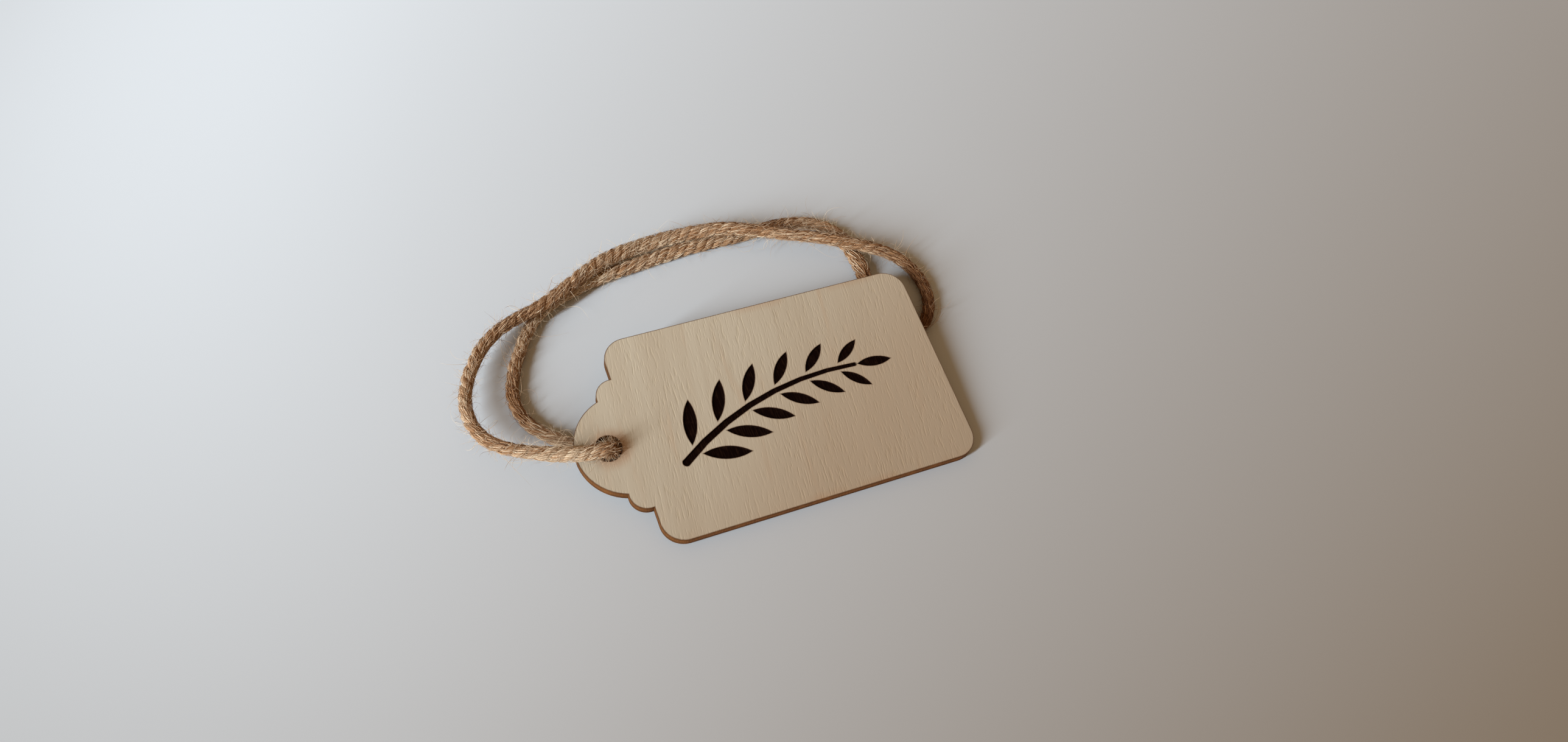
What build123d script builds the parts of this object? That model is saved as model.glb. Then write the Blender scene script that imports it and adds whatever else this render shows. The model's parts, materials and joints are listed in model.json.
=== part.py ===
from build123d import *
import math
import os

# A plywood gift tag with a jute tie, lying on a table.
# Millimetres and degrees, +Z up, with the table at Z = 0 and +X towards the tag's square end.
# The origin is the middle of the tag's own box, at its lowest point.

# Outline of the tag, from the tip of its round end
TAG_LENGTH = 70.0
TAG_WIDTH = 40.0
CORNER_RADIUS = 4.25
SHOULDER_FROM_TIP = 10.1
SHOULDER_WIDTH = 7.35
ROUND_NOTCH_FROM_TIP = 6.6
SCALLOP_WIDTH = 3.55
SCALLOP_BULGE = 1.2

# Hole for the tie
HOLE_DIAMETER = 4.8
HOLE_FROM_TIP = 5.8

# Plies of the sheet, from the back to the front
BACK_PLY = 0.6
CORE_PLY = 0.8
FRONT_PLY = 0.6

# How the tag lies: its far long edge and its round end are propped up on the tie
SIDE_TILT = 5.5
END_TILT = 0.6

# The tie: a limp jute twine, faceted all round, whose bends take up this share of their shorter run
TWINE_DIAMETER = 2.4
TWINE_SIDES = 16
BEND_SHARE = 0.45

# Heights of the twine's middle line: on the table, and over the front face of the tag
ON_TABLE = TWINE_DIAMETER / 2
OVER_TAG = 6.0

# Route of the twine through the hole, from over the round end to under it
HOLE_TURN_ROUTE = [
    (-33.6, -0.5, OVER_TAG),
    (-30.1, -0.6, OVER_TAG),
    (-28.7, -0.4, 4.6),
    (-28.7, -0.2, 2.6),
    (-30.0, 0.7, ON_TABLE),
    (-31.8, 2.4, ON_TABLE),
]

# Route of the front leg: off the round end, round the loop on top of the back leg,
# across it twice, round the tag's corner and in under the square end
FRONT_LEG_ROUTE = [
    (-38.6, 1.0, 5.95),
    (-43.6, 3.3, 5.75),
    (-47.7, 6.2, 5.25),
    (-50.0, 10.3, 4.7),
    (-50.4, 15.0, 4.25),
    (-49.2, 19.8, 3.9),
    (-46.6, 24.6, 3.65),
    (-42.9, 28.8, 3.6),
    (-37.8, 31.2, 3.7),
    (-32.4, 32.4, 3.85),
    (-27.2, 34.9, 3.85),
    (-21.8, 37.9, 3.8),
    (-16.2, 40.2, 3.5),
    (-10.2, 41.3, 3.0),
    (-4.0, 41.8, 2.8),
    (2.0, 41.4, 3.1),
    (7.6, 40.1, 3.75),
    (12.6, 37.9, 3.85),
    (17.6, 35.5, 3.75),
    (22.8, 33.4, 3.75),
    (27.6, 30.6, 3.9),
    (32.4, 28.0, 3.75),
    (37.2, 25.4, 2.6),
    (40.2, 21.4, 1.5),
    (40.9, 16.6, ON_TABLE),
    (39.7, 12.3, ON_TABLE),
    (37.2, 9.0, ON_TABLE),
    (33.6, 7.5, ON_TABLE),
    (29.7, 7.7, ON_TABLE),
    (25.9, 8.6, ON_TABLE),
]

# Route of the back leg: out under the round end, round the loop on the table,
# and in under the tag's far long edge
BACK_LEG_ROUTE = [
    (-34.8, 4.8, ON_TABLE),
    (-38.4, 7.4, ON_TABLE),
    (-41.1, 11.2, ON_TABLE),
    (-42.0, 15.7, ON_TABLE),
    (-41.0, 20.2, ON_TABLE),
    (-38.8, 24.6, ON_TABLE),
    (-36.0, 29.2, ON_TABLE),
    (-32.4, 33.2, ON_TABLE),
    (-27.2, 35.4, ON_TABLE),
    (-21.4, 37.3, ON_TABLE),
    (-15.4, 38.1, ON_TABLE),
    (-9.2, 38.8, ON_TABLE),
    (-3.0, 39.4, ON_TABLE),
    (3.2, 39.6, ON_TABLE),
    (9.2, 39.4, ON_TABLE),
    (14.8, 39.7, ON_TABLE),
    (20.2, 39.8, ON_TABLE),
    (25.2, 38.3, ON_TABLE),
    (28.8, 35.0, ON_TABLE),
    (30.1, 30.2, ON_TABLE),
    (30.4, 25.4, ON_TABLE),
    (30.0, 20.6, ON_TABLE),
    (28.2, 16.3, ON_TABLE),
    (24.8, 13.1, ON_TABLE),
    (20.4, 11.9, ON_TABLE),
]

# Smallest distance that counts as a difference
TINY = 1e-4


def tag_face():
    """The tag seen from the front: square at one end, scalloped and round at the other."""
    half_width = TAG_WIDTH / 2
    square_end = TAG_LENGTH / 2
    tip = -TAG_LENGTH / 2
    shoulder_x = tip + SHOULDER_FROM_TIP
    shoulder_y = half_width - SHOULDER_WIDTH
    notch_x = tip + ROUND_NOTCH_FROM_TIP
    notch_y = shoulder_y - SCALLOP_WIDTH
    with BuildSketch() as face:
        with BuildLine():
            ThreePointArc((notch_x, notch_y), (tip, 0), (notch_x, -notch_y))
            for side in (1, -1):
                SagittaArc(
                    (notch_x, side * notch_y),
                    (shoulder_x, side * shoulder_y),
                    side * SCALLOP_BULGE,
                )
                Polyline(
                    (shoulder_x, side * shoulder_y),
                    (shoulder_x, side * half_width),
                    (square_end, side * half_width),
                )
            Line((square_end, half_width), (square_end, -half_width))
        make_face()
        corners = [v for v in face.vertices() if abs(abs(v.Y) - half_width) < TINY]
        fillet(corners, CORNER_RADIUS)
        with Locations((tip + HOLE_FROM_TIP, 0)):
            Circle(HOLE_DIAMETER / 2, mode=Mode.SUBTRACT)
    return face.sketch


def flat_plies():
    """The three plies lying flat, stacked from the back of the tag to its front."""
    face = tag_face()
    plies = {}
    bottom = 0.0
    thicknesses = {"back_veneer": BACK_PLY, "core_veneer": CORE_PLY, "front_veneer": FRONT_PLY}
    for name, thickness in thicknesses.items():
        plies[name] = Pos(Z=bottom) * extrude(face, thickness)
        bottom += thickness
    return plies


def resting_place(plies):
    """Where the tag lies: tilted on the twine, touching the table, with its box centred on the origin."""
    tilt = Rot(Y=END_TILT) * Rot(X=SIDE_TILT)
    box = Compound([tilt * ply.solid() for ply in plies.values()]).bounding_box()
    middle = box.center()
    return Pos(-middle.X, -middle.Y, -box.min.Z) * tilt


def twine_line(route):
    """Straight runs joined by arcs, each as large as its two runs allow."""
    points = [Vector(*point) for point in route]
    radii = []
    for before, corner, after in zip(points, points[1:], points[2:]):
        run_in = corner - before
        run_out = after - corner
        half_turn = math.radians(run_in.get_angle(run_out)) / 2
        shorter = min(run_in.length, run_out.length)
        radii.append(BEND_SHARE * shorter / math.tan(half_turn))
    return FilletPolyline(*points, radius=radii), radii


def twine_tube(name, route):
    """A faceted round tube along the route, with its bends and volume printed."""
    line, radii = twine_line(route)
    section = Plane(origin=line @ 0, z_dir=line % 0) * RegularPolygon(TWINE_DIAMETER / 2, TWINE_SIDES)
    tube = sweep(section, path=line)
    expected = section.area * line.length
    print(f"{name}: length {line.length:.1f}, volume over section times length {tube.volume / expected:.4f}")
    print("  bend radii in diameters:", " ".join(f"{radius / TWINE_DIAMETER:.1f}" for radius in radii))
    return tube, line.length


def middle_of(first, second):
    """The point halfway between two points of the route."""
    return tuple((a + b) / 2 for a, b in zip(first, second))


def twine():
    """The three stretches of the twine, which meet face to face in the middle of a straight run."""
    front_start = middle_of(HOLE_TURN_ROUTE[0], FRONT_LEG_ROUTE[0])
    back_start = middle_of(HOLE_TURN_ROUTE[-1], BACK_LEG_ROUTE[0])
    routes = {
        "twine_front_leg": [front_start, *FRONT_LEG_ROUTE],
        "twine_hole_turn": [front_start, *HOLE_TURN_ROUTE, back_start],
        "twine_back_leg": [back_start, *BACK_LEG_ROUTE],
    }
    tubes = {}
    total = 0.0
    for name, route in routes.items():
        tubes[name], length = twine_tube(name, route)
        total += length
    print(f"twine length in all {total:.1f}")
    return tubes


plies = flat_plies()
place = resting_place(plies)
pieces = {name: place * ply for name, ply in plies.items()}
pieces.update(twine())

hole_middle = place * Pos(-TAG_LENGTH / 2 + HOLE_FROM_TIP, 0, (BACK_PLY + CORE_PLY + FRONT_PLY) / 2)
print("middle of the hole:", hole_middle.position)

os.makedirs("parts", exist_ok=True)
for name, piece in pieces.items():
    export_step(piece, f"parts/{name}.step")
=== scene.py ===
"""A plywood gift tag with an engraved sprig, on a hairy jute tie, as it lies on a pale table."""

import json
import math
import random
from bisect import bisect
from typing import NamedTuple

import bmesh
import bpy
from bpy.props import FloatProperty, FloatVectorProperty, IntProperty, PointerProperty
from mathutils import Matrix, Vector, noise
from mathutils.kdtree import KDTree


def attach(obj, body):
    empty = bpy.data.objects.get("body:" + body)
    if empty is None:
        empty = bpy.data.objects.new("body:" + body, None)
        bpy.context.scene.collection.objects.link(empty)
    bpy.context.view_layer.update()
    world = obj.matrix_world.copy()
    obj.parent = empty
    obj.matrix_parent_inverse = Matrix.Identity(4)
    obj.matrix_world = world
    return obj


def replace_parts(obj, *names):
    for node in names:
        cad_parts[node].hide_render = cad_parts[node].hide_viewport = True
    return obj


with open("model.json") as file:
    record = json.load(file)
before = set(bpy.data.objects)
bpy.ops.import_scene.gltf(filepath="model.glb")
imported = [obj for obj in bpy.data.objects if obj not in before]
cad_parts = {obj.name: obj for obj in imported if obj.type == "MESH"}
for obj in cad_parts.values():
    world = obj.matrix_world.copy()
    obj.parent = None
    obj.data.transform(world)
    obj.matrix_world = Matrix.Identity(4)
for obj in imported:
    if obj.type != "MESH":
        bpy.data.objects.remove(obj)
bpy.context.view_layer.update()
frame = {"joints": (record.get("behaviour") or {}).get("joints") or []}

bl_info = {
    "name": "Gift tag",
    "version": (1, 0, 0),
    "blender": (4, 5, 0),
    "location": "3D View > Sidebar > Gift tag",
    "description": "Builds a plywood gift tag on a jute tie, and the table that it lies on",
    "category": "Mesh",
}

MM = 0.001

# The tag turns on the twine about the middle of its hole
HOLE_MIDDLE = Vector(frame["joints"][0]["pos_m"])

# Points nearer to each other than this are one point
MERGE = 1e-7

# Round stretches of an outline have a point at least this often, and the hole has this many sides
ARC_STEP = math.radians(6)
HOLE_SIDES = 56

# Where the twine passes the hole, and where both of its legs start
IN_HOLE = (-0.0284, -0.0006, 0.0036)

# Control points of the front leg: up out of the hole, over the round end, round the loop on top of
# the back leg, across it twice, round the tag's corner and in under the square end
FRONT_LEG_ROUTE = [
    IN_HOLE,
    (-0.0284, -0.0007, 0.0047),
    (-0.0296, -0.0009, 0.0061),
    (-0.0336, -0.0007, 0.0060),
    (-0.0386, 0.0010, 0.00595),
    (-0.0436, 0.0033, 0.00575),
    (-0.0477, 0.0062, 0.00525),
    (-0.0500, 0.0103, 0.0047),
    (-0.0504, 0.0150, 0.00425),
    (-0.0492, 0.0198, 0.0039),
    (-0.0466, 0.0246, 0.00365),
    (-0.0429, 0.0288, 0.0036),
    (-0.0378, 0.0312, 0.0037),
    (-0.0324, 0.0324, 0.00385),
    (-0.0272, 0.0349, 0.00385),
    (-0.0218, 0.0379, 0.0038),
    (-0.0162, 0.0402, 0.0035),
    (-0.0102, 0.0413, 0.0030),
    (-0.0040, 0.0418, 0.0028),
    (0.0020, 0.0414, 0.0031),
    (0.0076, 0.0401, 0.00375),
    (0.0126, 0.0379, 0.00385),
    (0.0176, 0.0355, 0.00375),
    (0.0228, 0.0334, 0.00375),
    (0.0276, 0.0306, 0.0039),
    (0.0324, 0.0280, 0.00375),
    (0.0372, 0.0254, 0.0026),
    (0.0402, 0.0214, 0.0015),
    (0.0409, 0.0166, 0.0012),
    (0.0397, 0.0123, 0.0012),
    (0.0372, 0.0090, 0.0012),
    (0.0336, 0.0075, 0.0012),
    (0.0297, 0.0077, 0.0012),
    (0.0259, 0.0086, 0.0012),
]

# Control points of the back leg: down out of the hole, out under the round end, round the loop on
# the table and in under the tag's far long edge
BACK_LEG_ROUTE = [
    IN_HOLE,
    (-0.0284, -0.0004, 0.0026),
    (-0.0300, 0.0007, 0.0012),
    (-0.0318, 0.0024, 0.0012),
    (-0.0348, 0.0048, 0.0012),
    (-0.0384, 0.0074, 0.0012),
    (-0.0411, 0.0112, 0.0012),
    (-0.0420, 0.0157, 0.0012),
    (-0.0410, 0.0202, 0.0012),
    (-0.0388, 0.0246, 0.0012),
    (-0.0360, 0.0292, 0.0012),
    (-0.0324, 0.0332, 0.0012),
    (-0.0272, 0.0354, 0.0012),
    (-0.0214, 0.0373, 0.0012),
    (-0.0154, 0.0381, 0.0012),
    (-0.0092, 0.0388, 0.0012),
    (-0.0030, 0.0394, 0.0012),
    (0.0032, 0.0396, 0.0012),
    (0.0092, 0.0394, 0.0012),
    (0.0148, 0.0397, 0.0012),
    (0.0202, 0.0398, 0.0012),
    (0.0252, 0.0383, 0.0012),
    (0.0288, 0.0350, 0.0012),
    (0.0301, 0.0302, 0.0012),
    (0.0304, 0.0254, 0.0012),
    (0.0300, 0.0206, 0.0012),
    (0.0282, 0.0163, 0.0012),
    (0.0248, 0.0131, 0.0012),
    (0.0204, 0.0119, 0.0012),
]

# Where the legs lie loose and thick: the middle of each stretch, half of its length, and the share
# that it gains
FRONT_SLACK = [(0.001, 0.004, 0.16), (0.009, 0.007, 0.18), (0.083, 0.026, 0.26)]
BACK_SLACK = [(0.000, 0.003, 0.08), (0.073, 0.026, 0.26), (0.114, 0.010, 0.40)]

# How pale the twine is along its legs, from the hole to the ends, where 0.5 is neither pale nor dark. Partly
# the yarn's own paler and darker stretches, partly painted shade and light: darker in the hole and where the
# legs run in under the tag, paler where one leg lies in the other's shadow
FRONT_TONE_AND_SHADE = [
    (0.00, 0.36), (0.025, 0.58), (0.05, 0.86), (0.10, 0.68), (0.14, 0.53), (0.20, 0.65), (0.26, 0.67),
    (0.32, 0.46), (0.38, 0.61), (0.46, 0.67), (0.52, 0.76), (0.58, 0.59), (0.75, 0.54), (0.82, 0.48),
    (0.88, 0.27),
]
BACK_TONE_AND_SHADE = [
    (0.00, 0.36), (0.04, 0.70), (0.08, 0.86), (0.14, 0.47), (0.22, 0.52), (0.28, 0.65), (0.32, 0.86),
    (0.36, 0.90), (0.40, 0.89), (0.45, 0.66), (0.52, 0.67), (0.60, 0.60), (0.70, 0.55), (0.80, 0.65),
    (0.95, 0.36),
]


class Leg(NamedTuple):
    """A leg of the twine from the hole to its end, and the CAD nodes that its yarn stands for."""

    route: list
    length: float
    slack: list
    tone_and_shade: list
    way_round: int
    nodes: tuple


# The plies are counted the other way round in the leg that goes down, so that they meet in the hole
LEGS = {
    "front": Leg(
        route=FRONT_LEG_ROUTE, length=0.164, slack=FRONT_SLACK, tone_and_shade=FRONT_TONE_AND_SHADE, way_round=1,
        nodes=("twine_front_leg", "twine_hole_turn"),
    ),
    "back": Leg(
        route=BACK_LEG_ROUTE, length=0.134, slack=BACK_SLACK, tone_and_shade=BACK_TONE_AND_SHADE, way_round=-1,
        nodes=("twine_back_leg",),
    ),
}

# Points of a leg's line for each of its control points, and how far above the table a fibre may reach
LINE_STEPS = 9
HIGHEST_FIBRE = 0.0095

# Strands have tones from 0, the darkest, to the last one
LAST_TONE = 9
CORE_TONE = 2

# How plies and their bundles sway along the twine: how far, how often a metre, and from which lane on
PLY_TURN = (0.60, 190, 0)
PLY_OUT = (0.10, 300, 5)
BUNDLE_TURN = (0.90, 240, 20)
BUNDLE_OUT = (0.26, 420, 70)
BUNDLE_WIDTH = (0.50, 380, 110)

# Lanes lie this far apart in the noise
LANE_STEP = (7.31, 3.17)


class FibreKind(NamedTuple):
    """A kind of loose fibre: its tone, length, slant off the twine, most bend in radians, and thickness."""

    tone: float
    reach: tuple
    slant: tuple
    bend: float
    thick: float


TANGLED = FibreKind(5.4, (0.8 * MM, 3.2 * MM), (0.10, 0.55), 3.0, 1.0)
STANDING = FibreKind(5.6, (1.6 * MM, 5.0 * MM), (0.20, 0.80), 3.0, 1.45)
TUFT = FibreKind(6.4, (0.8 * MM, 2.6 * MM), (0.15, 0.70), 2.6, 1.2)
WISP = FibreKind(5.0, (5.0 * MM, 11.0 * MM), (0.12, 0.50), 5.0, 1.25)

# Where along a leg the tuft stands
TUFT_STRETCH = (0.2 * MM, 3.2 * MM)

# Leaves of the sprig: a pair's place on its part of the stem, the share of their size and the degrees
# from the stem that they lose along it, and the size of the leaf at the tip
PAIR_PLACE = 0.55
LEAF_LOSS = 0.36
LEAF_SPREAD = 46
LEAF_SPREAD_LOSS = 8
TIP_LEAF_LENGTH = 0.72
TIP_LEAF_WIDTH = 0.74


def length_setting(name, description, default):
    return FloatProperty(name=name, description=description, default=default, precision=5, unit="LENGTH")


def angle_setting(name, description, degrees):
    return FloatProperty(name=name, description=description, default=math.radians(degrees), unit="ROTATION")


def share_setting(name, description, default):
    return FloatProperty(name=name, description=description, default=default, subtype="FACTOR")


def colour_setting(name, description, default):
    return FloatVectorProperty(
        name=name, description=description, default=default, subtype="COLOR", min=0, max=1,
    )


def place_setting(name, description, default):
    return FloatVectorProperty(
        name=name, description=description, default=default, subtype="TRANSLATION", unit="LENGTH",
    )


class SheetSettings(bpy.types.PropertyGroup):
    """The plywood sheet"""

    length: length_setting("Length", "From the tip of the round end to the square end", 0.070)
    width: length_setting("Width", "Between the two long edges", 0.040)
    corner_radius: length_setting("Corner radius", "Of the four round corners", 0.00425)
    shoulder_from_tip: length_setting("Shoulder from tip", "From the tip to the shoulders", 0.0101)
    shoulder_width: length_setting("Shoulder width", "From a long edge to the shoulder's notch", 0.00735)
    notch_from_tip: length_setting("Notch from tip", "From the tip to the round end's notches", 0.0066)
    scallop_width: length_setting("Scallop width", "Across the tag, between its two notches", 0.00355)
    scallop_bulge: length_setting("Scallop bulge", "How far a scallop stands out of its chord", 0.0012)
    hole_diameter: length_setting("Hole diameter", "Of the hole for the tie", 0.0048)
    hole_from_tip: length_setting("Hole from tip", "From the tip to the hole's middle", 0.0058)
    face_ply: length_setting("Face ply", "Thickness of the front and the back veneer", 0.0006)
    core_ply: length_setting("Core ply", "Thickness of the core veneer", 0.0008)
    side_tilt: angle_setting("Side tilt", "How far the far long edge is propped up", 5.5)
    end_tilt: angle_setting("End tilt", "How far the round end is propped up", 0.6)
    grain_turn: angle_setting("Grain turn", "Of the face veneers, from square to the long edges", -7)
    arris: length_setting("Arris", "Width of the burnt-off corner along each cut", 0.00005)
    scorch: length_setting("Scorch", "Width of the browned rim along each cut", 0.00017)
    pale_wood: colour_setting("Pale wood", "Most of the veneer", (0.463, 0.379, 0.278))
    tan_wood: colour_setting("Tan wood", "Bands of the veneer", (0.400, 0.308, 0.213))
    # This pinkish colour, darkened, also paints shade towards the square end's near corner
    stain_and_shade: colour_setting("Stain", "Pinkish streaks of the veneer", (0.426, 0.300, 0.197))
    burnt_wood: colour_setting("Burnt wood", "Middle tone of the cut edges", (0.190, 0.068, 0.016))


class SprigSettings(bpy.types.PropertyGroup):
    """The sprig engraved in the front veneer"""

    base: FloatVectorProperty(
        name="Base", description="Foot of the stem, from the tag's middle",
        default=(-0.0172, -0.0066), size=2, subtype="XYZ", unit="LENGTH",
    )
    tip: FloatVectorProperty(
        name="Tip", description="End of the stem, from the tag's middle",
        default=(0.0190, 0.0030), size=2, subtype="XYZ", unit="LENGTH",
    )
    bulge: length_setting("Bulge", "How far the stem arches", 0.0034)
    stem_foot: length_setting("Stem at its foot", "Width of the stem where it starts", 0.0013)
    stem_end: length_setting("Stem at its end", "Width of the stem where it ends", 0.0006)
    pairs: IntProperty(name="Pairs", description="Pairs of leaves", default=6, min=1)
    leaf_length: length_setting("Leaf length", "Of the lowest leaves", 0.0088)
    leaf_width: length_setting("Leaf width", "Of the lowest leaves", 0.0024)
    gap: length_setting("Gap", "Between a leaf and the stem", 0.0007)
    depth: length_setting("Depth", "Of the engraving", 0.00025)
    slope: length_setting("Slope", "How far the walls run in", 0.00008)
    char: colour_setting("Char", "The burnt floor", (0.0042, 0.0011, 0.0006))
    browned: colour_setting("Browned", "Grain that shows in the burnt floor", (0.016, 0.0062, 0.0034))
    ash: colour_setting("Ash", "Patches of the burnt floor", (0.026, 0.0105, 0.0056))


class TwineSettings(bpy.types.PropertyGroup):
    """The jute twine of the tie"""

    diameter: length_setting("Diameter", "Over the plies, without the fuzz", 0.0024)
    plies: IntProperty(name="Plies", description="Yarns laid together", default=3, min=2)
    ply_share: share_setting("Ply share", "A ply's radius as a share of the twine's", 0.59)
    lay: length_setting("Lay", "Length of one turn of the plies", 0.0062)
    bundles: IntProperty(name="Bundles", description="Bundles of fibres round each ply", default=24, min=5)
    bundle_share: share_setting("Bundle share", "A bundle's radius as a share of its ply's", 0.145)
    bundle_lay: length_setting("Bundle lay", "Length of one turn of the bundles in a ply", 0.0125)
    hugging: IntProperty(name="Hugging fibres", description="Per metre, close to the twine", default=13000)
    tangled: IntProperty(name="Tangled fibres", description="Per metre, in the haze round it", default=12500)
    standing: IntProperty(name="Standing fibres", description="Per metre, far off the twine", default=1600)
    wisps: IntProperty(name="Wisps", description="Per metre, long and curled", default=420)
    tuft: IntProperty(name="Tuft", description="Fibres that stand out of the hole", default=300)
    fibre_radius: length_setting("Fibre radius", "Of a loose fibre", 0.000019)
    seed: IntProperty(name="Seed", description="Of the loose fibres", default=4)
    brown: colour_setting("Brown", "The darkest fibres", (0.120, 0.041, 0.012))
    golden: colour_setting("Golden", "Most of the fibres", (0.345, 0.172, 0.076))
    straw: colour_setting("Straw", "The palest fibres", (0.655, 0.502, 0.345))


class StageSettings(bpy.types.PropertyGroup):
    """The table, the light and the camera"""

    table: colour_setting("Table", "Colour of the table top", (0.500, 0.500, 0.508))
    table_size: length_setting("Table size", "Length of the table's sides", 3.0)
    fade_middle: place_setting("Fade middle", "Middle of the part that doesn't fade", (0.08, 0.05, 0.0))
    fade_start: length_setting("Fade start", "How far from there the table starts to fade", 0.14)
    fade_end: length_setting("Fade end", "How far from there the table has faded", 0.30)
    key_place: place_setting("Key place", "Where the lamp stands", (-1.059, -0.304, 0.537))
    key_aim: place_setting("Key aim", "What the lamp faces", (-1.805, 3.0, 0.0))
    key_power: FloatProperty(name="Key power", description="Of the lamp", default=200.0, unit="POWER")
    key_size: length_setting("Key size", "Across the lamp's round face", 0.80)
    key_colour: colour_setting("Key colour", "Of the lamp", (0.765, 0.896, 1.0))
    fill: FloatProperty(name="Fill", description="Strength of the light from all round", default=0.37)
    fill_colour: colour_setting("Fill colour", "Of the light from all round", (1.0, 0.662, 0.351))
    room: colour_setting("Room", "What shows past the table", (0.43, 0.42, 0.41))
    camera_place: place_setting("Camera place", "Where the camera is", (-0.0568475, -0.0984451, 0.1947079))
    camera_turn: FloatVectorProperty(
        name="Camera turn", description="How the camera is turned", subtype="EULER", unit="ROTATION",
        default=[math.radians(degrees) for degrees in (32.0027, -6.1310, -21.4306)],
    )
    lens: FloatProperty(
        name="Lens", description="Focal length on a 36 mm sensor, in millimetres", default=28.286,
    )


class GiftTagSettings(bpy.types.PropertyGroup):
    """Sizes and colours of the gift tag"""

    sheet: PointerProperty(type=SheetSettings)
    sprig: PointerProperty(type=SprigSettings)
    twine: PointerProperty(type=TwineSettings)
    stage: PointerProperty(type=StageSettings)


class Wire:
    """One output of a shader's node. Arithmetic on it adds Math nodes."""

    def __init__(self, shader, socket):
        self.shader = shader
        self.socket = socket

    def maths(self, operation, *values):
        return self.shader.add("ShaderNodeMath", {"operation": operation}, dict(enumerate(values)))

    def __add__(self, other):
        return self.maths("ADD", self, other)

    def __radd__(self, other):
        return self.maths("ADD", other, self)

    def __sub__(self, other):
        return self.maths("SUBTRACT", self, other)

    def __rsub__(self, other):
        return self.maths("SUBTRACT", other, self)

    def __mul__(self, other):
        return self.maths("MULTIPLY", self, other)

    def __rmul__(self, other):
        return self.maths("MULTIPLY", other, self)

    def __truediv__(self, other):
        return self.maths("DIVIDE", self, other)

    def __abs__(self):
        return self.maths("ABSOLUTE", self)

    def rise(self, low, high):
        """0 below low, 1 above high and smooth between them."""
        inputs = {"Value": self, "From Min": low, "From Max": high}
        return self.shader.add("ShaderNodeMapRange", {"interpolation_type": "SMOOTHSTEP"}, inputs)


class Shader:
    """The nodes of a new material or world, which feed its surface or its background."""

    def __init__(self, owner):
        owner.use_nodes = True
        self.owner = owner
        self.nodes = owner.node_tree.nodes
        self.links = owner.node_tree.links
        self.surface = self.nodes.get("Principled BSDF") or self.nodes["Background"]

    def feed(self, socket, value):
        if isinstance(value, Wire):
            self.links.new(value.socket, socket)
        else:
            socket.default_value = value

    def add(self, kind, settings=None, inputs=None, output=0):
        """One output of a new node, whose settings are made before its inputs."""
        node = self.nodes.new(kind)
        for name, value in (settings or {}).items():
            if name == "stops":
                ramp_stops(node.color_ramp, value)
            else:
                setattr(node, name, value)
        for name, value in (inputs or {}).items():
            self.feed(node.inputs[name], value)
        return Wire(self, node.outputs[output])

    def paint(self, **values):
        """Sets the surface's inputs, named with _ for a space."""
        for name, value in values.items():
            self.feed(self.surface.inputs[name.replace("_", " ")], value)
        return self.owner

    def millimetres(self, place=None):
        """Object coordinates in millimetres, in the frame of a place where one is given."""
        place = place or Matrix()
        inputs = {
            "Vector": self.add("ShaderNodeTexCoord", output="Object"),
            "Location": place.to_translation(),
            "Rotation": place.to_euler(),
            "Scale": (MM, MM, MM),
        }
        return self.add("ShaderNodeMapping", {"vector_type": "TEXTURE"}, inputs)

    def axis(self, spot, name):
        """One coordinate of a place."""
        return self.add("ShaderNodeSeparateXYZ", inputs={"Vector": spot}, output=name)

    def vector(self, operation, first, second, output=0):
        return self.add("ShaderNodeVectorMath", {"operation": operation}, {0: first, 1: second}, output)

    def noise(self, spot, per_mm, detail=2.0, roughness=0.5, shift=0.0):
        """A noise from 0 to 1 with that many waves per millimetre along each axis."""
        spot = self.vector("MULTIPLY", self.vector("ADD", spot, (shift, shift, shift)), per_mm)
        inputs = {"Vector": spot, "Scale": 1.0, "Detail": detail, "Roughness": roughness}
        return self.add("ShaderNodeTexNoise", inputs=inputs)

    def attribute(self, name):
        return self.add("ShaderNodeAttribute", {"attribute_name": name}, output="Fac")

    def mix(self, factor, first, second):
        """A colour between two colours."""
        first = opaque(first)
        second = opaque(second)
        return self.add("ShaderNodeMix", {"data_type": "RGBA"}, {0: factor, 6: first, 7: second}, output=2)

    def ramp(self, value, stops):
        return self.add("ShaderNodeValToRGB", {"stops": stops}, {"Fac": value})

    def bump(self, height, depth):
        """A normal for a relief whose height of 1 is that deep, in metres."""
        return self.add("ShaderNodeBump", inputs={"Height": height, "Distance": depth})


def opaque(colour):
    return colour if isinstance(colour, Wire) else (*colour, 1.0)


def shade(colour, factor):
    """A darker or paler colour."""
    return tuple(min(1.0, part * factor) for part in colour)


def halfway(first, second):
    """The colour in the middle between two colours."""
    return tuple((one + other) / 2 for one, other in zip(first, second))


def ramp_stops(ramp, stops):
    """Gives a colour ramp its stops, each a place and a colour."""
    while len(ramp.elements) < len(stops):
        ramp.elements.new(1.0)
    for element, (place, colour) in zip(ramp.elements, stops):
        element.position = place
        element.color = opaque(colour)


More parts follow.
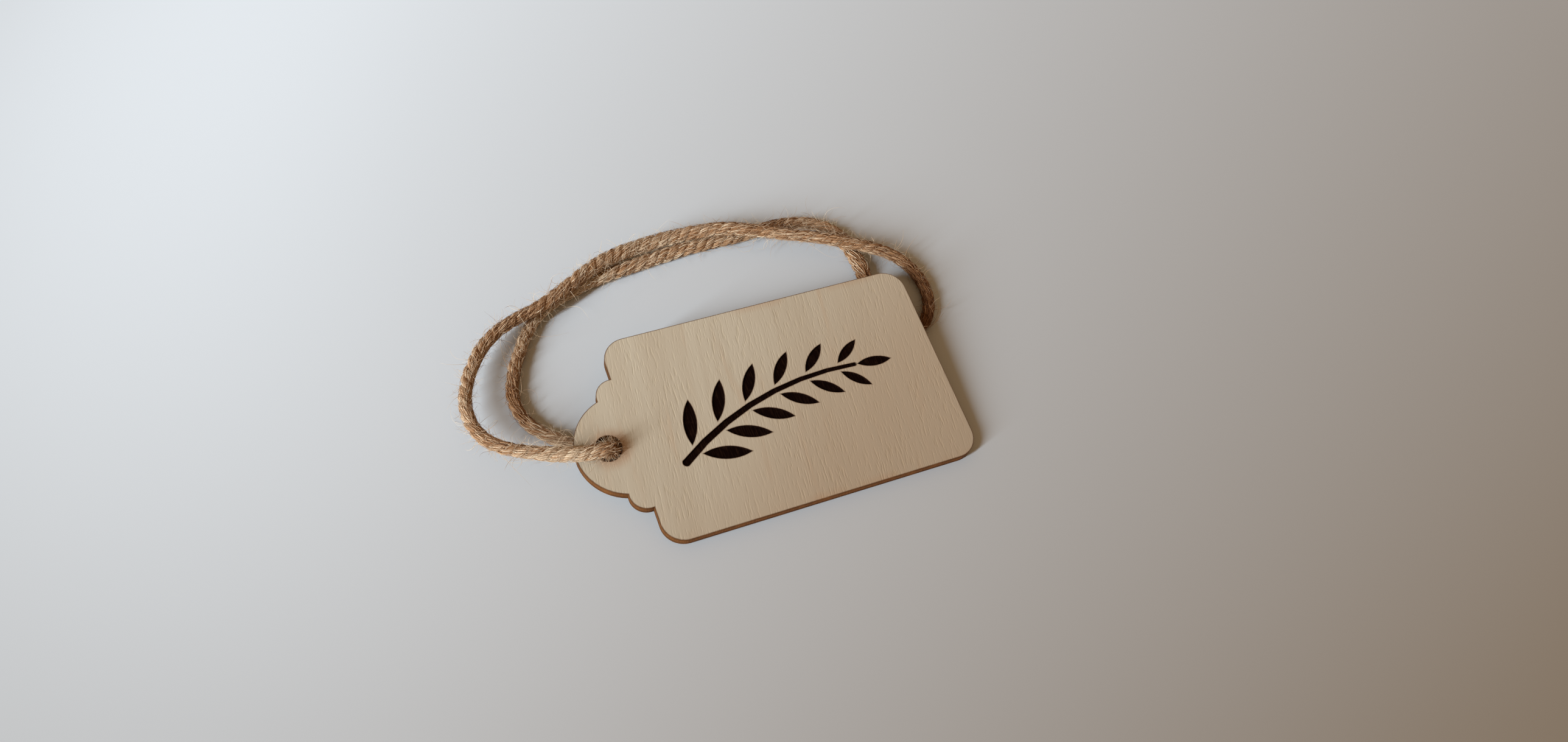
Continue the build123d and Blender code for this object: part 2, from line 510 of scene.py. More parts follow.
def veneer_finish(sheet, place):
    """Pale sanded veneer: bands and stains, short dark pore marks with painted shade in them and a raised
    painted highlight beside each, brown smoke, and painted shade towards a corner.
    """
    shader = Shader(bpy.data.materials.new("pale_veneer"))
    spot = shader.millimetres(place)
    along = shader.axis(spot, "X")
    sideways = shader.axis(spot, "Y")
    grain = shader.millimetres(place @ Matrix.Rotation(sheet.grain_turn, 4, "Z"))
    # Painted highlight: a paler copy of each pore, set 0.15 mm over on the side whose wall faces the lamp
    beside = shader.vector("ADD", grain, (-0.15, 0.0, 0.0))
    bands = shader.noise(grain, (0.15, 0.006, 0.15), detail=3).rise(0.40, 0.72)
    stains = shader.noise(grain, (0.40, 0.05, 0.40), detail=2, shift=71).rise(0.58, 0.78)
    clouds = shader.noise(grain, (0.10, 0.035, 0.10), detail=2, shift=31)
    fibres = shader.noise(grain, (2.8, 0.06, 2.8), detail=3, roughness=0.6)
    gather = 0.45 + 0.55 * shader.noise(grain, (0.20, 0.045, 0.20), detail=2, shift=90).rise(0.36, 0.62)
    pores_and_shade, painted_highlights = (
        gather * shader.noise(where, (3.2, 0.42, 3.2), detail=1.5, shift=7).rise(0.49, 0.72)
        for where in (grain, beside)
    )
    # Painted shade: the veneer gets darker and warmer towards the square end's near corner, where the light
    # falls off
    painted_shade_to_corner = (along - 1.2 * sideways).rise(-15.0, 32.0)
    wood = shader.mix(bands * 0.55, sheet.pale_wood, sheet.tan_wood)
    wood = shader.mix(clouds.rise(0.35, 0.75) * 0.30, wood, shade(sheet.tan_wood, 1.02))
    wood = shader.mix(stains * 0.60, wood, sheet.stain_and_shade)
    wood = shader.mix(painted_shade_to_corner * 0.74, wood, shade(sheet.stain_and_shade, 0.90))
    wood = shader.mix(fibres.rise(0.45, 0.75) * 0.36, wood, shade(sheet.tan_wood, 0.90))
    # Painted highlight beside each pore, then each pore darkened, partly its own colour and partly painted
    # shade on its wall
    wood = shader.mix(painted_highlights, wood, shader.vector("MULTIPLY", wood, (1.26, 1.27, 1.28)))
    wood = shader.mix(pores_and_shade, wood, shader.vector("MULTIPLY", wood, (0.77, 0.75, 0.71)))

    hole_edge = sheet.hole_diameter / 2 / MM
    long_edge = sheet.width / 2 / MM
    flat = shader.vector("MULTIPLY", spot, (1.0, 1.0, 0.0))
    smoke_middle = (hole_from_middle(sheet) / MM + 0.45, -0.2, 0.0)
    from_hole = shader.vector("DISTANCE", flat, smoke_middle, output="Value")
    hole_smoke = (1.0 - from_hole.rise(hole_edge - 0.3, 4.7)) * (0.35 + 0.7 * clouds + 0.3 * fibres)
    edge_smoke = abs(sideways).rise(long_edge - 1.8, long_edge) * (stains + clouds.rise(0.45, 0.65))
    scorched = halfway(shade(sheet.burnt_wood, 1.9), sheet.tan_wood)
    wood = shader.mix(hole_smoke * 0.80, wood, scorched)
    wood = shader.mix(edge_smoke * 0.35, wood, scorched)
    rim = shader.attribute("burn") * (0.50 + 0.9 * fibres)
    wood = shader.mix(rim, wood, shade(sheet.burnt_wood, 0.45))
    relief = painted_highlights - 0.8 * pores_and_shade + 0.3 * fibres
    return shader.paint(Base_Color=wood, Roughness=0.62, Normal=shader.bump(relief, 0.000010))


def burnt_edge_finish(sheet, place):
    """Edge cut by a laser: plies and a glue line browned by the heat, with fine upright streaks, and walls
    darker at the round end, partly by painted shade.
    """
    shader = Shader(bpy.data.materials.new("burnt_edge"))
    spot = shader.millimetres(place)
    along = shader.axis(spot, "X")
    sideways = shader.axis(spot, "Y")
    height = shader.axis(spot, "Z")
    streaks = shader.noise(spot, (5.0, 5.0, 0.5), detail=3)
    patches = shader.noise(spot, (0.35, 0.35, 0.35), detail=2, shift=17)
    face = sheet.face_ply / MM
    core = sheet.core_ply / MM
    whole = 2 * face + core
    wavy_height = height + (streaks - 0.5) * 0.10
    # Where the round end's walls get darker: partly heavier burn, partly painted shade
    round_end_burn_and_shade = 1.0 - along.rise(-27.0, -15.0)
    scallop_burn_and_shade = (1.0 - along.rise(-24.0, -12.0)) * sideways.rise(-5.0, 1.0)
    burnt = sheet.burnt_wood

    # From the back of the sheet to its front, as shares of its thickness
    stops = [
        (0.00, shade(burnt, 0.35)),
        (0.06, shade(burnt, 0.75)),
        (face / whole - 0.06, shade(burnt, 0.60)),
        (face / whole, shade(burnt, 0.22)),
        (face / whole + 0.08, shade(burnt, 1.05)),
        ((face + core) / whole - 0.03, shade(burnt, 1.35)),
        ((face + core) / whole + 0.02, shade(burnt, 0.85)),
        (0.90, shade(burnt, 0.80)),
        (1.00, shade(burnt, 0.55)),
    ]
    wood = shader.ramp(wavy_height / whole, stops)
    wood = shader.mix(streaks.rise(0.35, 0.75) * 0.55, wood, shade(burnt, 0.45))
    wood = shader.mix(patches.rise(0.45, 0.75) * 0.40, wood, shade(burnt, 1.7))
    # Darker walls at the round end and its scallops: partly heavier burn in the tight curves, partly painted
    # shade on walls that face the lamp
    wood = shader.mix(round_end_burn_and_shade * 0.45, wood, shade(burnt, 0.40))
    wood = shader.mix(scallop_burn_and_shade * 0.65, wood, shade(burnt, 0.35))
    normal = shader.bump(streaks, 0.00005)
    return shader.paint(Base_Color=wood, Roughness=0.72, Specular_IOR_Level=0.1, Normal=normal)


def char_finish(sprig, place):
    """Floor and walls of the engraving: nearly black, with the grain still showing."""
    shader = Shader(bpy.data.materials.new("engraved_char"))
    spot = shader.millimetres(place)
    grain = shader.noise(spot, (4.2, 0.35, 4.2), detail=3)
    ash = shader.noise(spot, (1.1, 0.8, 1.1), detail=3, shift=11)
    wood = shader.mix(grain.rise(0.45, 0.75) * 0.8, sprig.char, sprig.browned)
    wood = shader.mix(ash.rise(0.55, 0.80) * 0.5, wood, sprig.ash)
    normal = shader.bump(grain, 0.00006)
    return shader.paint(Base_Color=wood, Roughness=0.88, Specular_IOR_Level=0.02, Normal=normal)


def jute_finish(twine, name, paler, tone_and_shade):
    """Jute fibres, from brown to straw by their own tone, paler and darker along the twine, partly as painted
    shade and light, as tone_and_shade says.
    """
    shader = Shader(bpy.data.materials.new(name))
    spot = shader.millimetres()
    tone = shader.attribute("tone")
    apart = shader.add("ShaderNodeCombineXYZ", inputs={"X": tone * 37.0, "Y": tone * 61.0, "Z": tone * 19.0})
    stretches = shader.noise(shader.vector("ADD", spot, apart), (0.30, 0.30, 0.30), detail=2)
    specks = shader.noise(spot, (3.5, 3.5, 3.5), detail=2)
    stops = [(share, (grey, grey, grey)) for share, grey in tone_and_shade]
    # Painted shade and light along the leg, on top of the yarn's own paler and darker stretches
    faded = shader.ramp(shader.attribute("along"), stops) - 0.5
    value = paler + faded + 0.62 * tone + 0.55 * (stretches - 0.5) + 0.25 * (specks - 0.5)
    stops = [(0.10, twine.brown), (0.42, twine.golden), (0.85, twine.straw)]
    colour = shader.ramp(value, stops)
    return shader.paint(Base_Color=colour, Roughness=0.78, Specular_IOR_Level=0.2)


def seen_directly(shader):
    """1 for what the camera sees itself, or in shiny or clear surfaces, and 0 for light that bounces."""
    seen = shader.add("ShaderNodeLightPath", output="Is Camera Ray")
    for ray in ("Is Glossy Ray", "Is Transmission Ray"):
        seen = seen.maths("MAXIMUM", seen, shader.add("ShaderNodeLightPath", output=ray))
    return seen


def table_finish(stage):
    """A plain pale table top, with the faintest clouding, that fades into the room far from the tag."""
    shader = Shader(bpy.data.materials.new("pale_table"))
    spot = shader.millimetres()
    clouds = shader.noise(spot, (0.004, 0.004, 0.004), detail=1)
    colour = shader.mix(clouds, shade(stage.table, 0.985), shade(stage.table, 1.015))
    shader.paint(Base_Color=colour, Roughness=0.9, Specular_IOR_Level=0.1)
    middle = Vector(stage.fade_middle) / MM
    away = shader.vector("DISTANCE", spot, middle, output="Value")
    far = away.rise(stage.fade_start / MM, stage.fade_end / MM) * seen_directly(shader)
    room = shader.add("ShaderNodeEmission", inputs={"Color": opaque(stage.room)})
    top = Wire(shader, shader.surface.outputs[0])
    faded = shader.add("ShaderNodeMixShader", inputs={0: far, 1: top, 2: room})
    shader.feed(shader.nodes["Material Output"].inputs["Surface"], faded)
    return shader.owner


def room_light(stage):
    """Soft light from all round. Past the table, the camera and shiny or clear surfaces see a plain room."""
    shader = Shader(bpy.data.worlds.new("room"))
    light = shade(stage.fill_colour, stage.fill)
    return shader.paint(Color=shader.mix(seen_directly(shader), light, stage.room), Strength=1.0)


def arc_radius(half, rise):
    """Radius of an arc, from half of its chord and how far it stands out of it."""
    return (half**2 + rise**2) / (2 * rise)


def arc_between(start, to, rise):
    """Middle and turn of an arc that stands out by rise, to the left of the way from start."""
    way = to - start
    half = way.length / 2
    left = Vector((-way.y, way.x)).normalized()
    middle = start + way / 2 + left * (rise - arc_radius(half, rise))
    return middle, -4 * math.atan2(rise, half)


class Pen:
    """Draws an outline in a bmesh as straight and round stretches, one after another."""

    def __init__(self, bm, start):
        self.bm = bm
        self.first = bm.verts.new((*start, 0))
        self.end = self.first

    def line(self, to):
        self.end = bmesh.ops.extrude_vert_indiv(self.bm, verts=[self.end])["verts"][0]
        self.end.co = (*to, 0)

    def arc(self, middle, angle):
        """Turns about a middle point, to the left where the angle is positive."""
        made = bmesh.ops.spin(
            self.bm, geom=[self.end], cent=(*middle, 0), axis=(0, 0, 1), angle=angle,
            steps=max(2, math.ceil(abs(angle) / ARC_STEP)),
        )
        self.end = made["geom_last"][0]

    def bulge(self, to, rise):
        """A round stretch that stands out by rise, to the left of the way there."""
        self.arc(*arc_between(self.end.co.xy, Vector(to), rise))

    def close(self):
        bmesh.ops.remove_doubles(self.bm, verts=[self.first, self.end], dist=MERGE)


def sheet_thickness(sheet):
    return 2 * sheet.face_ply + sheet.core_ply


def hole_from_middle(sheet):
    """How far the hole is from the sheet's middle along it, which is negative towards the round end."""
    return sheet.hole_from_tip - sheet.length / 2


def sheet_place(sheet):
    """Where the sheet lies: its hole round the twine, its far edge and its round end propped up."""
    tilt = Matrix.Rotation(sheet.end_tilt, 4, "Y") @ Matrix.Rotation(sheet.side_tilt, 4, "X")
    hole = Vector((hole_from_middle(sheet), 0, sheet_thickness(sheet) / 2))
    return Matrix.Translation(HOLE_MIDDLE) @ tilt @ Matrix.Translation(-hole)


def draw_sheet(bm, sheet):
    """The sheet's outline and its hole: one half is drawn from tip to square end, and mirrored."""
    tip = -sheet.length / 2
    square = sheet.length / 2
    half = sheet.width / 2
    radius = sheet.corner_radius
    shoulder = tip + sheet.shoulder_from_tip
    shoulder_notch = half - sheet.shoulder_width
    round_notch = shoulder_notch - sheet.scallop_width
    deep = sheet.notch_from_tip
    end_radius = arc_radius(round_notch, deep)
    pen = Pen(bm, (tip, 0))
    pen.arc((tip + end_radius, 0), -math.atan2(round_notch, end_radius - deep))
    pen.bulge((shoulder, shoulder_notch), sheet.scallop_bulge)
    pen.line((shoulder, half - radius))
    pen.arc((shoulder + radius, half - radius), -math.pi / 2)
    pen.line((square - radius, half))
    pen.arc((square - radius, half - radius), -math.pi / 2)
    pen.line((square, 0))
    bmesh.ops.mirror(bm, geom=bm.verts[:] + bm.edges[:], matrix=Matrix(), merge_dist=MERGE, axis="Y")
    hole = Matrix.Translation((hole_from_middle(sheet), 0, 0))
    bmesh.ops.create_circle(bm, segments=HOLE_SIDES, radius=sheet.hole_diameter / 2, matrix=hole)


def draw_leaf(bm, foot, way, length, width):
    """A pointed leaf between two arcs."""
    pen = Pen(bm, foot)
    pen.bulge(foot + way * length, width / 2)
    pen.bulge(foot, width / 2)
    pen.close()


def draw_sprig(bm, sprig):
    """An arched stem with pairs of leaves that get smaller towards the leaf at its tip."""
    base = Vector(sprig.base)
    tip = Vector(sprig.tip)
    middle, turn = arc_between(base, tip, sprig.bulge)
    radius = arc_radius((tip - base).length / 2, sprig.bulge)

    def on_stem(share):
        """The place on the stem's middle line, the way along it and the way to its left."""
        out = (base - middle).normalized()
        out.rotate(Matrix.Rotation(turn * share, 2))
        return middle + out * radius, Vector((out.y, -out.x)), out

    _, _, foot_left = on_stem(0)
    _, end_way, end_left = on_stem(1)
    pen = Pen(bm, base + foot_left * sprig.stem_foot / 2)
    pen.bulge(tip + end_left * sprig.stem_end / 2, sprig.bulge)
    pen.bulge(tip - end_left * sprig.stem_end / 2, sprig.stem_end / 2)
    pen.bulge(base - foot_left * sprig.stem_foot / 2, -sprig.bulge)
    pen.bulge(base + foot_left * sprig.stem_foot / 2, sprig.stem_foot / 3)
    pen.close()
    tip_length = sprig.leaf_length * TIP_LEAF_LENGTH
    tip_width = sprig.leaf_width * TIP_LEAF_WIDTH
    draw_leaf(bm, tip + end_way * sprig.gap, end_way, tip_length, tip_width)
    for pair in range(sprig.pairs):
        share = (pair + PAIR_PLACE) / sprig.pairs
        size = 1.0 - LEAF_LOSS * share
        spread = math.radians(LEAF_SPREAD - LEAF_SPREAD_LOSS * share)
        spot, along, out = on_stem(share)
        stem = sprig.stem_foot + (sprig.stem_end - sprig.stem_foot) * share
        for side in (1, -1):
            leaf_way = along * math.cos(spread) + out * side * math.sin(spread)
            foot = spot + out * side * (stem / 2 + sprig.gap)
            draw_leaf(bm, foot, leaf_way, sprig.leaf_length * size, sprig.leaf_width * size)


def only(kind, geometry):
    """The faces, edges or points among what an operator made."""
    return [part for part in geometry if isinstance(part, kind)]


def fill_flat(bm, edges):
    """Faces between closed outlines, with the inner ones left open."""
    made = bmesh.ops.triangle_fill(bm, use_beauty=True, edges=edges, normal=(0, 0, 1))
    return only(bmesh.types.BMFace, made["geom"])


# Where a ply's finishes are in its list of materials
FACE, EDGE, CHAR = range(3)


def build_ply(sheet, thickness, shown_face=True, sprig=None):
    """One ply, its upper side at height 0. A shown face has a burnt arris, a browned rim and any sprig."""
    bm = bmesh.new()
    draw_sheet(bm, sheet)
    outline = bm.edges[:]
    if sprig:
        draw_sprig(bm, sprig)
    marks = [edge for edge in bm.edges if edge not in outline]
    upper = fill_flat(bm, bm.edges[:])
    floors = bmesh.ops.edgeloop_fill(bm, edges=marks)["faces"] if marks else []
    arris = sheet.arris if shown_face else 0.0
    made = bmesh.ops.extrude_edge_only(bm, edges=outline)["geom"]
    lower = only(bmesh.types.BMVert, made)
    bmesh.ops.translate(bm, verts=lower, vec=(0, 0, arris - thickness))
    fill_flat(bm, [edge for edge in only(bmesh.types.BMEdge, made) if set(edge.verts) <= set(lower)])
    for face in bm.faces:
        face.material_index = EDGE
    burn = bm.verts.layers.float.new("burn")
    if shown_face:
        slants = bmesh.ops.inset_region(
            bm, faces=upper, thickness=arris, depth=arris, use_boundary=True, use_even_offset=True,
        )["faces"]
        for face in slants:
            if any(other in floors for edge in face.edges for other in edge.link_faces):
                face.material_index = CHAR
        for vert in bm.verts:
            vert[burn] = 1.0
        rim = bmesh.ops.inset_region(
            bm, faces=upper, thickness=sheet.scorch, use_boundary=True, use_even_offset=True,
        )["faces"]
        for face in upper:
            for vert in face.verts:
                vert[burn] = 0.0
        for face in upper + rim:
            face.material_index = FACE
    if floors:
        slopes = bmesh.ops.inset_individual(
            bm, faces=floors, thickness=sprig.slope, depth=-sprig.depth, use_even_offset=True,
        )["faces"]
        for face in floors + slopes:
            face.material_index = CHAR
    bmesh.ops.translate(bm, verts=bm.verts, vec=(0, 0, -arris))
    bmesh.ops.recalc_face_normals(bm, faces=bm.faces)
    return bm


def new_object(bm, name, finishes):
    """A new object at the origin, whose mesh is a bmesh."""
    mesh = bpy.data.meshes.new(name)
    bm.to_mesh(mesh)
    bm.free()
    for finish in finishes:
        mesh.materials.append(finish)
    made = bpy.data.objects.new(name, mesh)
    bpy.context.scene.collection.objects.link(made)
    return made


def add_piece(bm, name, body, finishes):
    """A new piece of the gift tag, which moves with a body."""
    piece = new_object(bm, name, finishes)
    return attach(piece, body)


def mesh_of(curve):
    """The mesh that a curve makes. The curve itself is deleted."""
    holder = bpy.data.objects.new(curve.name, curve)
    mesh = bpy.data.meshes.new_from_object(holder)
    bpy.data.curves.remove(curve)
    return mesh


def smooth_line(route):
    """Points close together on the smooth line that a route's points control."""
    curve = bpy.data.curves.new("route", "CURVE")
    curve.dimensions = "3D"
    curve.resolution_u = LINE_STEPS
    spline = curve.splines.new("NURBS")
    spline.points.add(len(route) - 1)
    for point, place in zip(spline.points, route):
        point.co = (*place, 1.0)
    spline.order_u = 3
    spline.use_endpoint_u = True
    mesh = mesh_of(curve)
    line = [vert.co.copy() for vert in mesh.vertices]
    bpy.data.meshes.remove(mesh)
    return line


class YarnLine:
    """A line of points, with the way along it and two ways across it that don't twist."""

    def __init__(self, points):
        last = len(points) - 1
        self.points = points
        self.along = [0.0]
        for before, after in zip(points, points[1:]):
            self.along.append(self.along[-1] + (after - before).length)
        self.ahead = [
            (points[min(spot + 1, last)] - points[max(spot - 1, 0)]).normalized() for spot in range(last + 1)
        ]
        first = Vector((1, 0, 0))
        self.side = [(first - self.ahead[0] * first.dot(self.ahead[0])).normalized()]
        for before, after in zip(self.ahead, self.ahead[1:]):
            self.side.append(before.rotation_difference(after) @ self.side[-1])
        self.up = [ahead.cross(side) for ahead, side in zip(self.ahead, self.side)]

    def length(self):
        return self.along[-1]

    def beside(self, spot, angle, out):
        """A point that far out from one of the line's points, at an angle round it."""
        return self.points[spot] + (self.side[spot] * math.cos(angle) + self.up[spot] * math.sin(angle)) * out

    def place(self, length, angle, out):
        """The same, at any length along the line or past its ends."""
        spot = min(max(bisect(self.along, length) - 1, 0), len(self.points) - 2)
        share = (length - self.along[spot]) / (self.along[spot + 1] - self.along[spot])
        return self.beside(spot, angle, out).lerp(self.beside(spot + 1, angle, out), share)


def wander(sway, length, lane):
    """A smooth random number that changes along the twine, another in each lane."""
    amount, per_metre, first_lane = sway
    across = [(first_lane + lane) * step for step in LANE_STEP]
    return amount * noise.noise(Vector((length * per_metre, *across)))


def add_tubes(bm, strands, tone):
    """Four-sided tubes along lists of points with a radius each, all with the same tone."""
    curve = bpy.data.curves.new("strands", "CURVE")
    curve.dimensions = "3D"
    curve.bevel_depth = 1.0
    curve.bevel_resolution = 0
    curve.use_fill_caps = True
    for points, radii in strands:
        spline = curve.splines.new("POLY")
        spline.points.add(len(points) - 1)
        for place, point, radius in zip(spline.points, points, radii):
            place.co = (*point, 1.0)
            place.radius = radius
    mesh = mesh_of(curve)
    tones = mesh.attributes.new("tone", "FLOAT", "POINT")
    tones.data.foreach_set("value", [tone] * len(mesh.vertices))
    bm.from_mesh(mesh)
    bpy.data.meshes.remove(mesh)


def tubes_by_tone(strands, line):
    """A bmesh of strands, each with points, radii and a tone, marked by their way along a line."""
    bm = bmesh.new()
    for tone in range(LAST_TONE + 1):
        alike = [(points, radii) for points, radii, own in strands if own == tone]
        if alike:
            add_tubes(bm, alike, tone / LAST_TONE)
    bmesh.ops.remove_doubles(bm, verts=bm.verts, dist=MERGE)
    for face in bm.faces:
        face.smooth = True
    tree = KDTree(len(line.points))
    for spot, point in enumerate(line.points):
        tree.insert(point, spot)
    tree.balance()
    along = bm.verts.layers.float.new("along")
    for vert in bm.verts:
        vert[along] = line.along[tree.find(vert.co)[1]] / line.length()
    return bm


def swelling(slack, length):
    """How thick the twine is at a length along it, where 1 is its own thickness."""
    return 1.0 + sum(gain * max(0.0, 1.0 - ((length - at) / half) ** 2) for at, half, gain in slack)


def tone_near(rng, tone, spread=2.2):
    """A strand's own tone, from 0 to the last one."""
    return min(LAST_TONE, max(0, round(rng.gauss(tone, spread))))


def yarn_strands(line, twine, way_round, slack):
    """The plies laid to the left, each a core with bundles of fibres wound round it to the right."""
    loose = [swelling(slack, length) for length in line.along]
    rng = random.Random(twine.seed)
    radius = twine.diameter / 2
    ply_radius = radius * twine.ply_share
    bundle_radius = ply_radius * twine.bundle_share
    strands = []
    for ply in range(twine.plies):
        start = way_round * 2 * math.pi * ply / twine.plies
        centre = []
        for spot, length in enumerate(line.along):
            angle = start - 2 * math.pi * length / twine.lay + wander(PLY_TURN, length, ply)
            out = (radius - ply_radius) * (0.95 * loose[spot] + wander(PLY_OUT, length, ply))
            centre.append(line.beside(spot, angle, out))
            centre[-1].z = max(centre[-1].z, ply_radius * loose[spot])
        yarn = YarnLine(centre)
        core = [ply_radius * 0.88 * wide for wide in loose]
        strands.append((centre, core, CORE_TONE))
        for bundle in range(twine.bundles):
            lane = ply * twine.bundles + bundle
            tone = tone_near(rng, 4.4, spread=2.5)
            shift = rng.uniform(-0.25, 0.25)
            first = way_round * 2 * math.pi * (bundle + shift) / twine.bundles
            points = []
            radii = []
            for spot, length in enumerate(line.along):
                angle = first + 2 * math.pi * length / twine.bundle_lay + wander(BUNDLE_TURN, length, lane)
                out = (ply_radius - bundle_radius) * (loose[spot] + wander(BUNDLE_OUT, length, lane))
                radii.append(bundle_radius * (1.0 + wander(BUNDLE_WIDTH, length, lane)))
                points.append(yarn.beside(spot, angle, out))
                points[-1].z = max(points[-1].z, radii[-1])
            strands.append((points, radii, tone))
    return strands


def clear_of_sheet(points, sheet, inverse):
    """Whether a fibre stays over the table, under the highest place for one, and out of the plywood."""
    margin = 0.05 * MM
    hole = Vector((hole_from_middle(sheet), 0))
    between = [a.lerp(b, share) for a, b in zip(points, points[1:]) for share in (0.2, 0.4, 0.6, 0.8)]
    for point in points + between:
        local = inverse @ point
        in_sheet = (
            -margin < local.z < sheet_thickness(sheet) + margin
            and abs(local.x) < sheet.length / 2 + margin
            and abs(local.y) < sheet.width / 2 + margin
        )
        in_hole = (local.xy - hole).length < sheet.hole_diameter / 2 - margin
        if not margin < point.z < HIGHEST_FIBRE or (in_sheet and not in_hole):
            return False
    return True


def clear_strands(strands, sheet):
    """The strands that keep off the table and out of the plywood."""
    inverse = sheet_place(sheet).inverted()
    return [strand for strand in strands if clear_of_sheet(strand[0], sheet, inverse)]


def tapered(twine, rng, steps, share=1.0):
    """Radii of a fibre that gets thinner towards its end."""
    thick = twine.fibre_radius * share * rng.uniform(0.7, 1.35)
    taper = 0.75
    return [thick * (1.0 - taper * (step / steps) ** 2) for step in range(steps + 1)]


def hugging_fibre(line, twine, rng, slack):
    """A thin fibre wound round the twine much as the plies are, hardly off it."""
    steps = 7
    start = rng.uniform(0.0, line.length())
    run = rng.choice((-1, 1)) * rng.uniform(1.5 * MM, 4.5 * MM)
    angle = rng.uniform(0, 2 * math.pi)
    turn = rng.uniform(-2.0, 2.0) - 0.9 * 2 * math.pi * run / twine.lay
    lift = rng.uniform(0.02 * MM, 0.12 * MM)
    points = []
    for step in range(steps + 1):
        share = step / steps
        length = start + run * share
        out = twine.diameter / 2 * 0.95 * swelling(slack, length) + lift * math.sin(math.pi * share)
        points.append(line.place(length, angle + turn * share, out))
    return points, tapered(twine, rng, steps)


def loose_fibre(line, twine, rng, kind, stretch):
    """A thin fibre that leaves the twine at a slant and goes on bending one way, like part of a helix."""
    steps = 8
    spot = bisect(line.along, rng.uniform(*stretch)) - 1
    out = line.beside(spot, rng.uniform(0, 2 * math.pi), 1.0) - line.points[spot]
    way = (line.ahead[spot] * rng.choice((-1, 1))).lerp(out, rng.uniform(*kind.slant)).normalized()
    axis = Vector((rng.gauss(0, 1), rng.gauss(0, 1), rng.gauss(0, 1)))
    turn = Matrix.Rotation(rng.uniform(0.3, 1.0) * kind.bend / steps, 3, axis)
    stride = rng.uniform(*kind.reach) / steps
    points = [line.points[spot] + out * twine.diameter / 2 * 0.9]
    for _ in range(steps):
        points.append(points[-1] + way * stride)
        way = turn @ way
    return points, tapered(twine, rng, steps, kind.thick)


def wrap_strands(line, twine, sheet, seed, slack):
    """Thin fibres wound round a leg, which cross its bundles."""
    rng = random.Random(seed)
    strands = []
    for _ in range(round(twine.hugging * line.length())):
        fibre = hugging_fibre(line, twine, rng, slack)
        strands.append((*fibre, tone_near(rng, 4.6)))
    return clear_strands(strands, sheet)


def fuzz_strands(line, twine, sheet, seed):
    """Loose fibres: a haze round a leg, some that stand off it, a tuft at the hole and long wisps."""
    rng = random.Random(seed)
    length = line.length()
    whole = (0.0, length)
    groups = (
        (TANGLED, round(twine.tangled * length), whole),
        (STANDING, round(twine.standing * length), whole),
        (TUFT, twine.tuft, TUFT_STRETCH),
        (WISP, round(twine.wisps * length), whole),
    )
    strands = []
    for kind, count, stretch in groups:
        for _ in range(count):
            fibre = loose_fibre(line, twine, rng, kind, stretch)
            strands.append((*fibre, tone_near(rng, kind.tone)))
    return clear_strands(strands, sheet)


class GIFTTAG_OT_front_ply(bpy.types.Operator):
    """Build the front veneer, with a sprig engraved in it"""

    bl_idname = "gift_tag.front_ply"
    bl_label = "Front veneer"

    def execute(self, context):
        settings = context.scene.gift_tag
        sheet = settings.sheet
        place = sheet_place(sheet)
        bm = build_ply(sheet, sheet.face_ply, sprig=settings.sprig)
        bm.transform(place @ Matrix.Translation((0, 0, sheet_thickness(sheet))))
        finishes = [
            veneer_finish(sheet, place), burnt_edge_finish(sheet, place), char_finish(settings.sprig, place),
        ]
        piece = add_piece(bm, "front_ply", "tag", finishes)
        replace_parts(piece, "front_veneer")
        return {"FINISHED"}


class GIFTTAG_OT_lower_plies(bpy.types.Operator):
    """Build the core veneer and the back veneer"""

    bl_idname = "gift_tag.lower_plies"
    bl_label = "Core and back veneers"

    def execute(self, context):
        sheet = context.scene.gift_tag.sheet
        place = sheet_place(sheet)
        finishes = list(bpy.data.objects["front_ply"].data.materials)[:CHAR]
        core = build_ply(sheet, sheet.core_ply, shown_face=False)
        core.transform(place @ Matrix.Translation((0, 0, sheet.face_ply + sheet.core_ply)))
        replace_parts(add_piece(core, "core_ply", "tag", finishes), "core_veneer")
        back = build_ply(sheet, sheet.face_ply)
        back.transform(place @ Matrix.Rotation(math.pi, 4, "X"))
        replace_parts(add_piece(back, "back_ply", "tag", finishes), "back_veneer")
        return {"FINISHED"}


class GIFTTAG_OT_twine(bpy.types.Operator):
    """Lay the two legs of the jute twine, with their loose fibres"""

    bl_idname = "gift_tag.twine"
    bl_label = "Jute twine"

    def execute(self, context):
        settings = context.scene.gift_tag
        sheet = settings.sheet
        twine = settings.twine
        seed = twine.seed
        for name, leg in LEGS.items():
            line = YarnLine(smooth_line(leg.route))
            yarn_finish = jute_finish(twine, f"jute_{name}_yarn", paler=0.05, tone_and_shade=leg.tone_and_shade)
            fuzz_finish = jute_finish(twine, f"jute_{name}_fuzz", paler=0.20, tone_and_shade=leg.tone_and_shade)
            wraps = wrap_strands(line, twine, sheet, seed + 2 * leg.way_round, leg.slack)
            layers = (
                ("yarn", yarn_strands(line, twine, leg.way_round, leg.slack), yarn_finish),
                ("wrap", wraps, yarn_finish),
                ("fuzz", fuzz_strands(line, twine, sheet, seed + leg.way_round), fuzz_finish),
            )
            yarn, wrap, fuzz = (
                add_piece(tubes_by_tone(strands, line), f"twine_{name}_{layer}", "twine", [finish])
                for layer, strands, finish in layers
            )
            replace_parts(yarn, *leg.nodes)
        return {"FINISHED"}


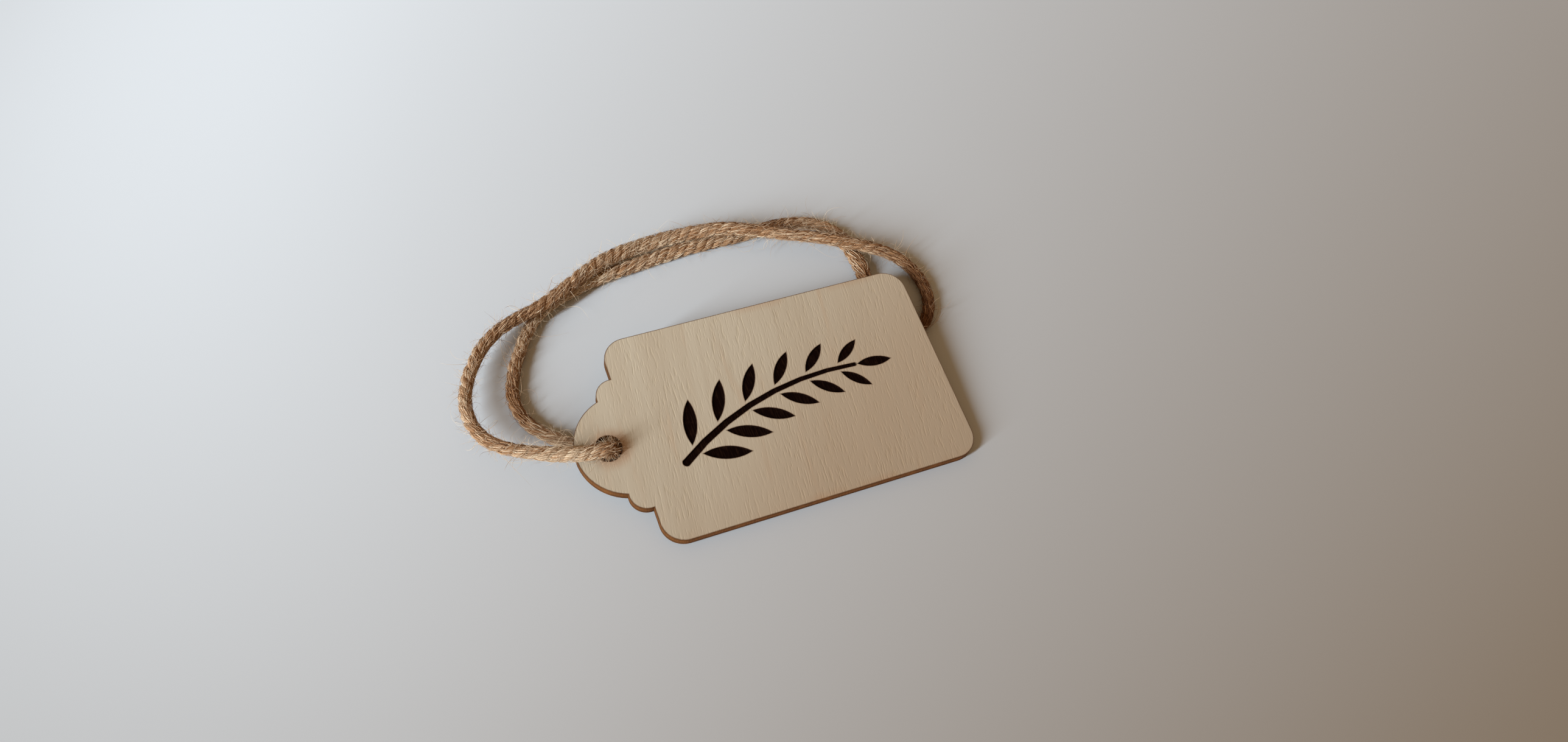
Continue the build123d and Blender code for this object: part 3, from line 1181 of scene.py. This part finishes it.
class GIFTTAG_OT_stage(bpy.types.Operator):
    """Lay the table, light it softly from the left and set the camera"""

    bl_idname = "gift_tag.stage"
    bl_label = "Table, light and camera"

    def execute(self, context):
        scene = context.scene
        stage = scene.gift_tag.stage
        bm = bmesh.new()
        bmesh.ops.create_grid(bm, x_segments=1, y_segments=1, size=stage.table_size / 2)
        table = new_object(bm, "table", [table_finish(stage)])

        light = bpy.data.lights.new("lamp", "AREA")
        light.shape = "DISK"
        light.size = stage.key_size
        light.energy = stage.key_power
        light.color = stage.key_colour
        lamp = bpy.data.objects.new("lamp", light)
        lamp.location = stage.key_place
        facing = Vector(stage.key_place) - Vector(stage.key_aim)
        lamp.rotation_euler = facing.to_track_quat("Z", "Y").to_euler()
        scene.collection.objects.link(lamp)

        scene.world = room_light(stage)

        lens = bpy.data.cameras.new("camera")
        lens.lens = stage.lens
        lens.sensor_width = 36.0
        lens.clip_start = 0.01
        camera = bpy.data.objects.new("camera", lens)
        camera.location = stage.camera_place
        camera.rotation_euler = stage.camera_turn
        scene.collection.objects.link(camera)
        scene.camera = camera
        scene.view_settings.view_transform = "Standard"
        return {"FINISHED"}


OPERATORS = (GIFTTAG_OT_front_ply, GIFTTAG_OT_lower_plies, GIFTTAG_OT_twine, GIFTTAG_OT_stage)


class GIFTTAG_PT_panel(bpy.types.Panel):
    """Lists the pieces of the gift tag"""

    bl_idname = "GIFTTAG_PT_panel"
    bl_label = "Gift tag"
    bl_space_type = "VIEW_3D"
    bl_region_type = "UI"
    bl_category = "Gift tag"

    def draw(self, context):
        for operator in OPERATORS:
            self.layout.operator(operator.bl_idname)


CLASSES = (
    SheetSettings, SprigSettings, TwineSettings, StageSettings, GiftTagSettings, *OPERATORS, GIFTTAG_PT_panel,
)


def register():
    for made in CLASSES:
        bpy.utils.register_class(made)
    bpy.types.Scene.gift_tag = PointerProperty(type=GiftTagSettings)


def unregister():
    del bpy.types.Scene.gift_tag
    for made in reversed(CLASSES):
        bpy.utils.unregister_class(made)


def main():
    register()
    bpy.ops.gift_tag.front_ply()
    bpy.ops.gift_tag.lower_plies()
    bpy.ops.gift_tag.twine()
    bpy.ops.gift_tag.stage()


if __name__ == "__main__":
    main()
